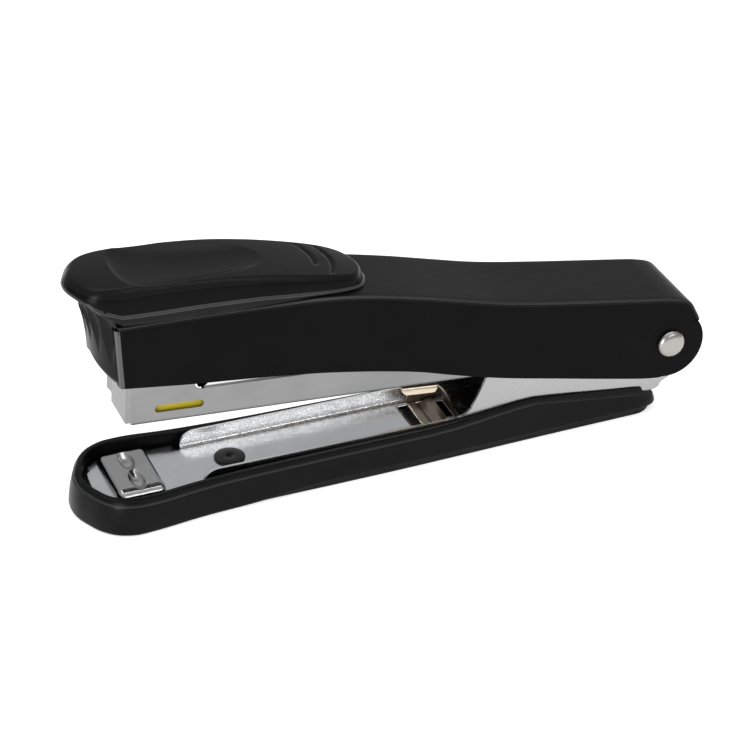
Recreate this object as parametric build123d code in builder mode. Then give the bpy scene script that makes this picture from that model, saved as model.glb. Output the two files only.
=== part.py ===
"""Half-strip desk stapler for 24/6 staples, drawn at rest with the handle up.

+X runs from the nose to the pivot, +Z is up, and the origin is on the resting
surface under the middle of the length. All sizes are in millimetres.
"""
import os

from build123d import *

# ---- driving dimensions -------------------------------------------------
LENGTH = 134.0
NOSE_X = -LENGTH / 2

PIVOT_X = 59.5
PIVOT_Z = 16.6
PIN_R = 1.6
RUNNING_GAP = 0.05

MAGAZINE_TILT = 4.07
PRESS_MIDDLE = 1.5

HANDLE_HALF = 9.4
HANDLE_SHEET = 0.7
HANDLE_INNER = HANDLE_HALF - HANDLE_SHEET
HANDLE_FRONT_X = -57.8

EAR_OUTER = 7.9
PLATE_SHEET = 0.6
EAR_INNER = EAR_OUTER - PLATE_SHEET

CHANNEL_OUTER = 7.0
CHANNEL_SHEET = 0.55
CHANNEL_INNER = CHANNEL_OUTER - CHANNEL_SHEET
CHANNEL_BOTTOM = -3.54
CHANNEL_FLOOR = CHANNEL_BOTTOM + CHANNEL_SHEET
CHANNEL_FRONT = -116.3
CHANNEL_REAR = 4.0

SOLE_TOP = 1.3
SHELL_TOP = 7.4
PLATE_TOP = 4.93
PLATE_UNDER = PLATE_TOP - PLATE_SHEET
WALL_TOP = 7.9
RIM_STEP = 0.6
LEAF_SHEET = 0.45
ANVIL_TOP = 6.95
ANVIL_X = -54.2
FRONT_DISC_X = -33.7
REAR_DISC_X = 19.5
DISC_R = 3.2
DISC_HEIGHT = 0.5

RAIL_HALF = 5.2
RAIL_TOP = 2.46
RAIL_SHEET = 0.6
RAIL_FRONT = -114.1
RAIL_REAR = -30.0
ROD_R = 0.8
ROD_Z = -0.5
PUSHER_FRONT = -113.4
PUSHER_REAR = -99.4
SPRING_FRONT = -99.2
SPRING_REAR = -38.2
SPRING_R = 1.6
SPRING_WIRE_R = 0.22
SPRING_TURNS = 24

os.makedirs("parts", exist_ok=True)


def save(builder, name, place=None):
    """Label a finished piece, move it to its place and write its file."""
    solid = builder.part if place is None else builder.part.moved(place)
    solid.label = name
    export_step(solid, f"parts/{name}.step")


# Pieces of the magazine are drawn level about the pivot, then tilted.
magazine_place = Location((PIVOT_X, 0, PIVOT_Z), (0, MAGAZINE_TILT, 0))


# ---- base ---------------------------------------------------------------
BASE_SIDE = [
    (-64.3, 7.7),
    (-61.3, 10.9),
    (-57.5, 12.6),
    (-52.0, 12.2),
    (-44.0, 11.2),
    (-30.0, 10.75),
    (0.0, 10.4),
    (17.0, 9.85),
    (30.0, 9.4),
    (45.0, 9.0),
    (53.0, 8.8),
]
BASE_REAR_X = 57.8


def base_outline(height, inset=0.0):
    """Return the base's outline seen from above, as a face at the given height."""
    side_points = [(x, y - inset) for x, y in BASE_SIDE]
    rear_x = BASE_REAR_X - inset
    with BuildSketch(Plane.XY.offset(height)) as outline:
        with BuildLine():
            ThreePointArc((-64.3, inset - 7.7), (NOSE_X + inset, 0), (-64.3, 7.7 - inset))
            for side in (1, -1):
                flank = Spline(*[(x, side * y) for x, y in side_points])
                ThreePointArc(flank @ 1, (56.6 - inset, side * (7.2 - inset)), (rear_x, side * 3.5))
            Line((rear_x, 3.5), (rear_x, -3.5))
        make_face()
    return outline.sketch


with BuildPart() as base_sole:
    extrude(base_outline(0.0, inset=0.25), amount=SOLE_TOP)
    fillet(base_sole.faces().sort_by(Axis.Z)[0].edges(), radius=0.4)
save(base_sole, "base_sole")


def above_rim(drop):
    """Return the face above the rim line, lowered by drop, for cutting the shell's top."""
    low = SHELL_TOP - drop
    with BuildSketch(Plane.XZ) as above:
        with BuildLine():
            level = Line((NOSE_X - 1, low), (4, low))
            rise = Spline(level @ 1, (17, low + 0.9), (29, low + 1.8), tangents=((1, 0), (1, -0.02)))
            fall = Spline(rise @ 1, (BASE_REAR_X + 1, low - 1.2), tangents=((1, -0.02), (1, -0.13)))
            Polyline(fall @ 1, (BASE_REAR_X + 1, 15), (NOSE_X - 1, 15), level @ 0)
        make_face()
    return above.sketch


# The rim runs level, rises beside the ears and falls to the rear. Its outer
# edge is stepped in all round, so the crest is a narrower body of its own.
with BuildPart() as rim_crest:
    extrude(base_outline(SOLE_TOP, inset=RIM_STEP), amount=10.0 - SOLE_TOP)
    extrude(above_rim(0.0), amount=20, both=True, mode=Mode.SUBTRACT)

with BuildPart() as base_shell:
    extrude(base_outline(SOLE_TOP), amount=10.0 - SOLE_TOP)
    extrude(above_rim(RIM_STEP), amount=20, both=True, mode=Mode.SUBTRACT)
    add(rim_crest.part)
    # Pocket for the chrome base plate.
    with BuildSketch(Plane.XY.offset(PLATE_UNDER)):
        with BuildLine():
            nose = ThreePointArc((-58.5, -9.1), (-63.1, 0), (-58.5, 9.1))
            far = Polyline(nose @ 1, (-43, 9.1), (-26, 8.1), (BASE_REAR_X + 1, 8.0))
            near = Polyline(nose @ 0, (-43, -9.1), (-26, -8.1), (BASE_REAR_X + 1, -8.0))
            Line(far @ 1, near @ 1)
        make_face()
    extrude(amount=10, mode=Mode.SUBTRACT)
    # Recess under the plate's window for the return spring.
    with Locations((9.8, 0, PLATE_UNDER)):
        Box(11, 11, 2 * 1.6, mode=Mode.SUBTRACT)
    # Bores under the two disc rivets.
    with Locations((FRONT_DISC_X, 0, PLATE_UNDER), (REAR_DISC_X, 0, PLATE_UNDER)):
        Cylinder(radius=1.2, height=2 * 2.4, mode=Mode.SUBTRACT)
save(base_shell, "base_shell")

with BuildPart() as base_plate:
    with BuildSketch(Plane.XY.offset(PLATE_UNDER)):
        with BuildLine():
            tip = ThreePointArc((-58.8, -8.8), (-62.7, 0), (-58.8, 8.8))
            far = Polyline(tip @ 1, (-43.2, 8.8), (-43.2, EAR_INNER), (57.2, EAR_INNER))
            near = Polyline(tip @ 0, (-43.2, -8.8), (-43.2, -EAR_INNER), (57.2, -EAR_INNER))
            Line(far @ 1, near @ 1)
        make_face()
        with Locations((9.8, 0)):
            RectangleRounded(9.6, 11, 1.0, mode=Mode.SUBTRACT)
        with Locations((FRONT_DISC_X, 0), (REAR_DISC_X, 0)):
            Circle(1.2, mode=Mode.SUBTRACT)
    extrude(amount=PLATE_SHEET)
    # Side walls that grow into the two pivot ears.
    with BuildSketch(Plane.XZ.offset(-EAR_OUTER)):
        with BuildLine():
            foot = Line((-41.6, PLATE_UNDER), (-41.6, 5.6))
            round_front = ThreePointArc(foot @ 1, (-40.9, 7.2), (-39.2, WALL_TOP))
            top = Line(round_front @ 1, (13.0, WALL_TOP))
            rise = ThreePointArc(top @ 1, (15.4, 8.8), (16.6, 10.9))
            front = Line(rise @ 1, (20.6, 19.4))
            roof = Line(front @ 1, (55.6, 21.7))
            round_rear = ThreePointArc(roof @ 1, (64.6, 19.8), (65.2, 14.2))
            Polyline(round_rear @ 1, (57.2, PLATE_UNDER), foot @ 0)
        make_face()
        with Locations((PIVOT_X, PIVOT_Z)):
            Circle(PIN_R, mode=Mode.SUBTRACT)
    extrude(amount=PLATE_SHEET, dir=(0, -1, 0))
    # Pressed loop on the ear's outer face.
    with BuildSketch(Plane.XZ.offset(-EAR_OUTER)):
        with Locations((25.5, 14.2)):
            SlotOverall(6.0, 2.6, rotation=90)
            SlotOverall(5.2, 1.8, rotation=90, mode=Mode.SUBTRACT)
    extrude(amount=0.2, dir=(0, -1, 0), mode=Mode.SUBTRACT)
    # Tail that rises behind the base.
    with BuildSketch(Plane.XZ):
        with BuildLine():
            Polyline(
                (57.0, PLATE_UNDER),
                (57.4, PLATE_UNDER),
                (60.9, 7.0),
                (60.5, 7.6),
                (57.0, PLATE_TOP),
                close=True,
            )
        make_face()
    extrude(amount=EAR_INNER, both=True)
    mirror(about=Plane.XZ)
save(base_plate, "base_plate")

with BuildPart() as anvil:
    with BuildSketch(Plane.XY.offset(PLATE_TOP)):
        with Locations((ANVIL_X, 0)):
            RectangleRounded(10, 16.2, 1.2)
    extrude(amount=ANVIL_TOP - PLATE_TOP)
    fillet(anvil.faces().sort_by(Axis.Z)[-1].edges(), radius=0.9)
    # Twin clinching pockets that curl the staple's legs.
    with BuildSketch(Plane.XY.offset(ANVIL_TOP - 0.8)):
        with Locations((ANVIL_X, 3.55), (ANVIL_X, -3.55)):
            Ellipse(1.4, 3.65)
    extrude(amount=1, mode=Mode.SUBTRACT)
save(anvil, "anvil")

with BuildPart() as plate_rivets:
    with Locations((FRONT_DISC_X, 0, PLATE_TOP), (REAR_DISC_X, 0, PLATE_TOP + 0.5)):
        Cylinder(radius=DISC_R, height=DISC_HEIGHT, align=(Align.CENTER, Align.CENTER, Align.MIN))
    chamfer(plate_rivets.faces().group_by(Axis.Z)[-1].edges(), length=0.15)
    chamfer(plate_rivets.faces().filter_by(Plane.XY).group_by(Axis.Z)[-2].edges(), length=0.15)
    with Locations((FRONT_DISC_X, 0, 2.4), (REAR_DISC_X, 0, 2.4)):
        Cylinder(radius=1.1, height=PLATE_TOP - 2.4 + 0.6, align=(Align.CENTER, Align.CENTER, Align.MIN))
    with Locations(
        (FRONT_DISC_X, 0, PLATE_TOP + DISC_HEIGHT), (REAR_DISC_X, 0, PLATE_TOP + 0.5 + DISC_HEIGHT)
    ):
        Sphere(radius=0.6, mode=Mode.SUBTRACT)
save(plate_rivets, "plate_rivets")

with BuildPart() as return_spring:
    with BuildSketch(Plane.XZ):
        with BuildLine():
            FilletPolyline(
                (22.6, PLATE_TOP + 0.25),
                (14.2, PLATE_TOP + 0.25),
                (10.6, PLATE_UNDER - 0.6),
                (9.0, PLATE_UNDER - 0.6),
                (3.6, 13.4),
                (11.0, 16.0),
                radius=0.7,
            )
        trace(line_width=LEAF_SHEET)
    extrude(amount=5.0, both=True)
    with Locations((REAR_DISC_X, 0, PLATE_TOP)):
        Cylinder(radius=1.2, height=3, mode=Mode.SUBTRACT)
save(return_spring, "return_spring")

with BuildPart() as pivot_rivet:
    with BuildSketch(Plane.XZ.offset(HANDLE_HALF + 0.3)):
        with Locations((PIVOT_X, PIVOT_Z)):
            Circle(PIN_R)
    extrude(amount=-2 * (HANDLE_HALF + 0.3))
    # Domed heads outside the handle.
    for side in (-1, 1):
        head_plane = Plane(
            origin=(PIVOT_X, side * (HANDLE_HALF + 0.1), PIVOT_Z), x_dir=(1, 0, 0), z_dir=(0, side, 0)
        )
        with BuildSketch(head_plane):
            Circle(3.0)
        extrude(amount=1.3)
    head_faces = pivot_rivet.faces().filter_by(Axis.Y)
    fillet(head_faces.sort_by(Axis.Y)[-1].edges(), radius=1.15)
    fillet(pivot_rivet.faces().filter_by(Axis.Y).sort_by(Axis.Y)[0].edges(), radius=1.15)
save(pivot_rivet, "pivot_rivet")

# ---- magazine, drawn level about the pivot ------------------------------
NOSE_HEIGHT = 12.6
NOSE_REAR = -102.6
WALL_LOW = CHANNEL_BOTTOM + 6.5
WALL_HIGH = CHANNEL_BOTTOM + 8.3
JOGGLE = 0.35
FRONT_FACE_INNER = CHANNEL_FRONT + CHANNEL_SHEET
SLOT_LENGTH = 10.0
SLOT_HEIGHT = 1.75
SLOT_X = -105.6
SLOT_Z = CHANNEL_BOTTOM + 3.25

with BuildPart() as magazine_channel:
    with BuildSketch(Plane.XZ):
        with BuildLine():
            Polyline(
                (CHANNEL_FRONT, CHANNEL_BOTTOM),
                (CHANNEL_FRONT, CHANNEL_BOTTOM + NOSE_HEIGHT),
                (NOSE_REAR, CHANNEL_BOTTOM + NOSE_HEIGHT),
                (NOSE_REAR, WALL_LOW),
                (CHANNEL_REAR, WALL_LOW),
                (CHANNEL_REAR, CHANNEL_BOTTOM),
                close=True,
            )
        make_face()
    extrude(amount=CHANNEL_OUTER, both=True)
    lower_edges = magazine_channel.edges().filter_by(Axis.X).group_by(Axis.Z)[0]
    fillet(lower_edges, radius=0.5)
    front_edges = magazine_channel.edges().filter_by(Axis.Z).group_by(Axis.X)[0]
    fillet(front_edges, radius=1.2)
    # Upper wall, stepped inward behind the nose.
    with Locations(((NOSE_REAR + CHANNEL_REAR) / 2, 0, WALL_LOW)):
        Box(
            CHANNEL_REAR - NOSE_REAR,
            2 * (CHANNEL_OUTER - JOGGLE),
            WALL_HIGH - WALL_LOW,
            align=(Align.CENTER, Align.CENTER, Align.MIN),
        )
    # Hollow from the floor up, open at the top and the rear.
    inner_length = CHANNEL_REAR + 1 - FRONT_FACE_INNER
    with Locations((FRONT_FACE_INNER + inner_length / 2, 0, CHANNEL_FLOOR)):
        Box(
            inner_length,
            2 * (CHANNEL_INNER - JOGGLE),
            20,
            align=(Align.CENTER, Align.CENTER, Align.MIN),
            mode=Mode.SUBTRACT,
        )
        Box(
            inner_length,
            2 * CHANNEL_INNER,
            WALL_LOW - CHANNEL_FLOOR - 0.1,
            align=(Align.CENTER, Align.CENTER, Align.MIN),
            mode=Mode.SUBTRACT,
        )
    nose_length = NOSE_REAR - FRONT_FACE_INNER
    with Locations((FRONT_FACE_INNER + nose_length / 2, 0, CHANNEL_FLOOR)):
        Box(
            nose_length,
            2 * CHANNEL_INNER,
            20,
            align=(Align.CENTER, Align.CENTER, Align.MIN),
            mode=Mode.SUBTRACT,
        )
    # Mouth in the floor where the blade pushes a staple out.
    with Locations((FRONT_FACE_INNER + 0.75, 0, CHANNEL_BOTTOM)):
        Box(1.5, 2 * CHANNEL_INNER, 2, mode=Mode.SUBTRACT)
    # Seam between the two front flanges.
    with Locations((CHANNEL_FRONT, 0, CHANNEL_BOTTOM + NOSE_HEIGHT / 2)):
        Box(3, 0.3, NOSE_HEIGHT + 1, mode=Mode.SUBTRACT)
    # Window that shows the pusher, on both sides.
    with BuildSketch(Plane.XZ):
        with Locations((SLOT_X, SLOT_Z)):
            SlotOverall(SLOT_LENGTH, SLOT_HEIGHT)
    extrude(amount=CHANNEL_OUTER + 1, both=True, mode=Mode.SUBTRACT)
    # Bores for the pivot pin.
    with BuildSketch(Plane.XZ):
        Circle(PIN_R + RUNNING_GAP)
    extrude(amount=CHANNEL_OUTER + 1, both=True, mode=Mode.SUBTRACT)
save(magazine_channel, "magazine_channel", magazine_place)

RAIL_LENGTH = RAIL_REAR - RAIL_FRONT
RAIL_X = (RAIL_REAR + RAIL_FRONT) / 2
RAIL_SLOT_HALF = 1.1

with BuildPart() as staple_rail:
    with Locations((RAIL_X, 0, CHANNEL_FLOOR)):
        Box(
            RAIL_LENGTH,
            2 * RAIL_HALF,
            RAIL_TOP - CHANNEL_FLOOR,
            align=(Align.CENTER, Align.CENTER, Align.MIN),
        )
    fillet(staple_rail.edges().filter_by(Axis.X).group_by(Axis.Z)[-1], radius=0.5)
    # Hollow underside with a closed front wall that holds the rod.
    with Locations((RAIL_X + RAIL_SHEET / 2, 0, CHANNEL_FLOOR)):
        Box(
            RAIL_LENGTH - RAIL_SHEET,
            2 * (RAIL_HALF - RAIL_SHEET),
            RAIL_TOP - CHANNEL_FLOOR - RAIL_SHEET,
            align=(Align.CENTER, Align.CENTER, Align.MIN),
            mode=Mode.SUBTRACT,
        )
    # Slot along the top for the pusher's web.
    with Locations((RAIL_FRONT + 4 + 37, 0, RAIL_TOP)):
        Box(74, 2 * RAIL_SLOT_HALF, 4, mode=Mode.SUBTRACT)
    with BuildSketch(Plane.YZ.offset(RAIL_FRONT)):
        with Locations((0, ROD_Z)):
            Circle(ROD_R)
    extrude(amount=RAIL_SHEET, mode=Mode.SUBTRACT)
save(staple_rail, "staple_rail", magazine_place)

with BuildPart() as guide_rod:
    with BuildSketch(Plane.YZ.offset(RAIL_FRONT)):
        with Locations((0, ROD_Z)):
            Circle(ROD_R)
    extrude(amount=SPRING_REAR + 1.6 - RAIL_FRONT)
save(guide_rod, "guide_rod", magazine_place)

with BuildPart() as rod_bracket:
    with Locations((SPRING_REAR + 0.5, 0, CHANNEL_FLOOR)):
        Box(0.8, 2 * (RAIL_HALF - RAIL_SHEET), 4.8, align=(Align.CENTER, Align.CENTER, Align.MIN))
    with Locations((SPRING_REAR + 0.1, 0, CHANNEL_FLOOR)):
        Box(5.0, 7.0, 0.6, align=(Align.MIN, Align.CENTER, Align.MIN))
    with BuildSketch(Plane.YZ.offset(SPRING_REAR)):
        with Locations((0, ROD_Z)):
            Circle(ROD_R)
    extrude(amount=2, mode=Mode.SUBTRACT)
save(rod_bracket, "rod_bracket", magazine_place)

with BuildPart() as rail_rivets:
    # Flush rivets through the bracket foot and the channel floor.
    with Locations(
        (SPRING_REAR + 3.2, 1.9, CHANNEL_FLOOR + 0.6), (SPRING_REAR + 3.2, -1.9, CHANNEL_FLOOR + 0.6)
    ):
        Cylinder(radius=1.0, height=0.5, align=(Align.CENTER, Align.CENTER, Align.MIN))
save(rail_rivets, "rail_rivets", magazine_place)

COVER_FRONT = -34.0
COVER_REAR = -8.0
COVER_TOP = WALL_HIGH + 0.5

with BuildPart() as rear_cover:
    with Locations(((COVER_FRONT + COVER_REAR) / 2, 0, RAIL_TOP + 0.2)):
        Box(
            COVER_REAR - COVER_FRONT,
            2 * (CHANNEL_INNER - JOGGLE),
            COVER_TOP - RAIL_TOP - 0.2,
            align=(Align.CENTER, Align.CENTER, Align.MIN),
        )
    fillet(rear_cover.edges().filter_by(Axis.X).group_by(Axis.Z)[-1], radius=0.6)
    with Locations(((COVER_FRONT + COVER_REAR) / 2, 0, RAIL_TOP)):
        Box(
            COVER_REAR - COVER_FRONT,
            2 * (CHANNEL_INNER - JOGGLE - 0.6),
            COVER_TOP - RAIL_TOP - 0.6,
            align=(Align.CENTER, Align.CENTER, Align.MIN),
            mode=Mode.SUBTRACT,
        )
save(rear_cover, "rear_cover", magazine_place)

with BuildPart() as pivot_sleeve:
    with BuildSketch(Plane.XZ):
        Circle(2.5)
        Circle(PIN_R + RUNNING_GAP, mode=Mode.SUBTRACT)
    extrude(amount=CHANNEL_INNER - JOGGLE - 0.02, both=True)
save(pivot_sleeve, "pivot_sleeve", magazine_place)

# ---- pusher -------------------------------------------------------------
PUSHER_LENGTH = PUSHER_REAR - PUSHER_FRONT
PUSHER_X = (PUSHER_REAR + PUSHER_FRONT) / 2
PUSHER_OUTER = CHANNEL_INNER - JOGGLE - 0.2
PUSHER_INNER = RAIL_HALF + 0.2

with BuildPart() as pusher:
    with Locations((PUSHER_X, 0, CHANNEL_FLOOR + 0.3)):
        Box(
            PUSHER_LENGTH,
            2 * PUSHER_OUTER,
            RAIL_TOP + 2.0 - CHANNEL_FLOOR,
            align=(Align.CENTER, Align.CENTER, Align.MIN),
        )
    fillet(pusher.edges().filter_by(Axis.X).group_by(Axis.Z)[-1], radius=0.6)
    with Locations((PUSHER_X, 0, CHANNEL_FLOOR)):
        Box(
            PUSHER_LENGTH,
            2 * PUSHER_INNER,
            RAIL_TOP + 0.2 - CHANNEL_FLOOR,
            align=(Align.CENTER, Align.CENTER, Align.MIN),
            mode=Mode.SUBTRACT,
        )
    # Web through the rail's slot, and the block that rides on the rod.
    with Locations((PUSHER_X + 2, 0, ROD_Z)):
        Box(8, 1.8, RAIL_TOP + 1.0 - ROD_Z, align=(Align.CENTER, Align.CENTER, Align.MIN))
        Box(8, 4.0, 4.2)
    with BuildSketch(Plane.YZ.offset(PUSHER_FRONT - 1)):
        with Locations((0, ROD_Z)):
            Circle(ROD_R + RUNNING_GAP)
    extrude(amount=PUSHER_LENGTH + 2, mode=Mode.SUBTRACT)
save(pusher, "pusher", magazine_place)

SPRING_SEAT = PUSHER_X + 6 + SPRING_WIRE_R + 0.05
SPRING_LENGTH = SPRING_REAR - SPRING_WIRE_R - SPRING_SEAT - 0.05

with BuildPart() as pusher_spring:
    with BuildLine():
        coil = Helix(
            pitch=SPRING_LENGTH / SPRING_TURNS,
            height=SPRING_LENGTH,
            radius=SPRING_R,
            center=(SPRING_SEAT, 0, ROD_Z),
            direction=(1, 0, 0),
        )
    with BuildSketch(Plane(origin=coil @ 0, z_dir=coil % 0)):
        Circle(SPRING_WIRE_R)
    sweep(path=coil, is_frenet=True)
save(pusher_spring, "pusher_spring", magazine_place)

# ---- handle -------------------------------------------------------------
HANDLE_TOP = [
    (HANDLE_FRONT_X, 44.7),
    (-42.0, 44.1),
    (-26.8, 43.25),
    (-15.4, 42.4),
    (-3.9, 40.4),
    (6.0, 37.8),
    (16.4, 34.9),
    (24.0, 32.8),
]
HANDLE_TOP_REAR = (63.3, 25.8)
HANDLE_FOOT = [
    (-25.9, 27.7),
    (-13.4, 25.7),
    (-2.0, 23.3),
    (9.5, 20.2),
    (19.0, 17.3),
]
HANDLE_ARC_R = 7.6
SCREW_R = 1.0
SCREW_REACH = 3.6
CAP_SCREW_SPOTS = ((-40.0, 0, 43.95), (-19.0, 0, 42.7))
BLADE_RIVET_R = 0.9
BLADE_RIVET_SPOTS = ((-48.6, -3.2, 44.3), (-48.6, 3.2, 44.3))


def handle_side(drop=0.0, back=0.0):
    """Return the handle's side view, moved down and forward for its hollow."""
    with BuildSketch(Plane.XZ) as side_view:
        with BuildLine():
            crown = Spline(*HANDLE_TOP, tangents=((1, -0.03), (1, -0.22)))
            slope = Spline(crown @ 1, (43.0, 29.3), HANDLE_TOP_REAR, tangents=((1, -0.22), (1, -0.17)))
            rear = Line(slope @ 1, (PIVOT_X + 6.9, PIVOT_Z + 3.2))
            low_point = (PIVOT_X - 0.9, PIVOT_Z - HANDLE_ARC_R)
            arc = ThreePointArc(rear @ 1, (PIVOT_X + 6.2, PIVOT_Z - 4.4), low_point)
            heel = Line(arc @ 1, (53.0, 9.5))
            keel = Line(heel @ 1, (31.0, 14.35))
            belly = Spline(keel @ 1, *reversed(HANDLE_FOOT), tangents=((-1, 0.23), (-1, 0.14)))
            Polyline(belly @ 1, (HANDLE_FRONT_X, 31.9), crown @ 0)
        make_face()
        fillet(side_view.vertices().filter_by(lambda v: v.X > 62.5), radius=1.0)
    return side_view.sketch.moved(Location((-back, 0, -drop)))


with BuildPart() as handle_shell:
    extrude(handle_side(), amount=HANDLE_HALF, both=True)
    extrude(
        handle_side(drop=HANDLE_SHEET, back=HANDLE_SHEET), amount=HANDLE_INNER, both=True, mode=Mode.SUBTRACT
    )
    # Open the hollow downward, leaving the roof and a short rear wall.
    extrude(handle_side(drop=9.0, back=0.4), amount=HANDLE_INNER, both=True, mode=Mode.SUBTRACT)
    with Locations((PIVOT_X - 5.4, 0, 4.0)):
        Box(30, 2 * HANDLE_INNER, 16.3, align=(Align.CENTER, Align.CENTER, Align.MIN), mode=Mode.SUBTRACT)
    # Front gap between the two turned-in flanges.
    with Locations((HANDLE_FRONT_X, 0, 30)):
        Box(6, 11.0, 28, mode=Mode.SUBTRACT)
    # Bores for the pivot pin.
    with BuildSketch(Plane.XZ):
        with Locations((PIVOT_X, PIVOT_Z)):
            Circle(PIN_R + RUNNING_GAP)
    extrude(amount=HANDLE_HALF + 1, both=True, mode=Mode.SUBTRACT)
    # Holes under the finger cap for its screws and the blade's rivets.
    with Locations(*CAP_SCREW_SPOTS):
        Cylinder(radius=SCREW_R + 0.1, height=30, mode=Mode.SUBTRACT)
    with Locations(*BLADE_RIVET_SPOTS):
        Cylinder(radius=BLADE_RIVET_R, height=30, mode=Mode.SUBTRACT)
save(handle_shell, "handle_shell")

CAP_TOP = [
    (-66.0, 50.2),
    (-64.4, 51.9),
    (-58.0, 52.5),
    (-48.0, 52.2),
    (-36.0, 50.8),
    (-20.0, 47.4),
    (-3.0, 41.4),
]
CAP_FRONT = -65.9
CAP_SIDE = [(-64.3, 6.5), (-60.8, 9.3), (-55.0, 9.9), (-38.0, 9.85), (-20.0, 9.2), (-7.4, 7.0)]
CAP_REAR = -3.2
SKIRT_FRONT = -61.8
SKIRT_REAR = HANDLE_FRONT_X - 0.35
SKIRT_HALF = 8.9
DISH_ENDS = ((-56.5, 51.9), (-26.5, 48.2))
DISH_DEPTH = 2.1
DISH_HALF = 7.2

with BuildPart() as finger_cap:
    with BuildSketch(Plane.XZ):
        with BuildLine():
            crown = Spline(*CAP_TOP)
            step = [(-3.0, 39), (HANDLE_FRONT_X, 39), (HANDLE_FRONT_X, 47.0), (-64.6, 48.2)]
            Polyline(crown @ 1, *step, crown @ 0)
        make_face()
    extrude(amount=12, both=True)
    with BuildSketch(Plane.XY.offset(38)):
        with BuildLine():
            near_points = [(x, -y) for x, y in CAP_SIDE]
            ThreePointArc(near_points[0], (CAP_FRONT, 0), CAP_SIDE[0])
            Spline(*CAP_SIDE)
            Spline(*near_points)
            ThreePointArc(near_points[-1], (CAP_REAR, 0), CAP_SIDE[-1])
        make_face()
    extrude(amount=16, mode=Mode.INTERSECT)
    extrude(handle_side(), amount=12, both=True, mode=Mode.SUBTRACT)
    # Skirt in front of the handle.
    with BuildSketch(Plane.XY.offset(30.0)):
        with Locations(((SKIRT_FRONT + SKIRT_REAR) / 2, 0)):
            Rectangle(SKIRT_REAR - SKIRT_FRONT, 2 * SKIRT_HALF)
    extrude(amount=17.6)
    skirt_corners = finger_cap.edges().filter_by(Axis.Z).group_by(Axis.X)[0]
    fillet(skirt_corners, radius=2.6)
    for flute_y in (-5.4, 0, 5.4):
        with Locations(Location((SKIRT_FRONT - 1.5, flute_y, 40.0), (0, -6, 0))):
            Cylinder(radius=2.5, height=13, mode=Mode.SUBTRACT)
    # Thumb dish, round across and long.
    dish_lift = (DISH_HALF**2 - DISH_DEPTH**2) / (2 * DISH_DEPTH)
    front_end = Vector(DISH_ENDS[0][0], 0, DISH_ENDS[0][1])
    rear_end = Vector(DISH_ENDS[1][0], 0, DISH_ENDS[1][1])
    along = (rear_end - front_end).normalized()
    upward = Vector(-along.Z, 0, along.X)
    with BuildSketch(Plane.XZ):
        with BuildLine():
            low = (front_end + rear_end) * 0.5 - upward * DISH_DEPTH
            bowl = ThreePointArc(
                (front_end.X, front_end.Z), (low.X, low.Z), (rear_end.X, rear_end.Z)
            )
            axis_front = front_end + upward * dish_lift
            axis_rear = rear_end + upward * dish_lift
            Polyline(bowl @ 0, (axis_front.X, axis_front.Z), (axis_rear.X, axis_rear.Z), bowl @ 1)
        make_face()
    revolve(axis=Axis(axis_front, along), mode=Mode.SUBTRACT)
    # Two short grip grooves near the rear end.
    for groove_x in (-16.0, -12.4):
        with Locations(Location((groove_x, 0, 46.0 - 0.27 * (groove_x + 16.0)), (90, 0, 0))):
            Cylinder(radius=0.5, height=11, mode=Mode.SUBTRACT)
    # Blind bores for the screws.
    for spot in CAP_SCREW_SPOTS:
        with Locations(spot):
            Cylinder(radius=SCREW_R, height=2 * SCREW_REACH, mode=Mode.SUBTRACT)
save(finger_cap, "finger_cap")

with BuildPart() as cap_screws:
    for spot in CAP_SCREW_SPOTS:
        with Locations(spot):
            Cylinder(radius=SCREW_R, height=SCREW_REACH - 0.3, align=(Align.CENTER, Align.CENTER, Align.MIN))
            Cylinder(radius=SCREW_R, height=1.2, align=(Align.CENTER, Align.CENTER, Align.MAX))
        with Locations((spot[0], 0, spot[2] - 1.0)):
            Cylinder(radius=2.2, height=1.2, align=(Align.CENTER, Align.CENTER, Align.MAX))
            Box(3.4, 0.7, 3.4, mode=Mode.SUBTRACT)
save(cap_screws, "cap_screws")

# The blade is square to the magazine halfway through its stroke.
BLADE_X = (FRONT_FACE_INNER + RAIL_FRONT) / 2
BLADE_HALF = 6.2
BLADE_SHEET = 0.4
BLADE_BOTTOM = 0.2
BLADE_TOP = 15.3
blade_frame = Plane(
    Location((PIVOT_X, 0, PIVOT_Z), (0, MAGAZINE_TILT + PRESS_MIDDLE, 0))
)

with BuildPart() as driver_blade:
    with BuildSketch(blade_frame.offset(BLADE_BOTTOM)):
        with Locations((BLADE_X, 0)):
            Rectangle(BLADE_SHEET, 2 * BLADE_HALF)
    extrude(amount=BLADE_TOP - BLADE_BOTTOM)
    with Locations((-53.9, 0, 42.75)):
        Box(9.0, 11.0, 0.6, align=(Align.MIN, Align.CENTER, Align.MIN))
    with Locations(*BLADE_RIVET_SPOTS):
        Cylinder(radius=BLADE_RIVET_R, height=10, mode=Mode.SUBTRACT)
save(driver_blade, "driver_blade")

with BuildPart() as blade_rivets:
    with Locations(*BLADE_RIVET_SPOTS):
        Cylinder(radius=BLADE_RIVET_R, height=1.6, align=(Align.CENTER, Align.CENTER, Align.MAX))
    with Locations(*[(x, y, 42.75) for x, y, _ in BLADE_RIVET_SPOTS]):
        Cylinder(radius=1.7, height=0.7, align=(Align.CENTER, Align.CENTER, Align.MAX))
save(blade_rivets, "blade_rivets")

with BuildPart() as handle_spring:
    with BuildSketch(Plane.XZ):
        with BuildLine():
            FilletPolyline(
                (8.6, 35.95),
                (20.6, 32.5),
                (31.0, 27.6),
                (40.5, 23.75),
                (44.0, 24.4),
                radius=3.0,
            )
        trace(line_width=LEAF_SHEET)
    extrude(amount=4.5, both=True)
save(handle_spring, "handle_spring")
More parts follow.
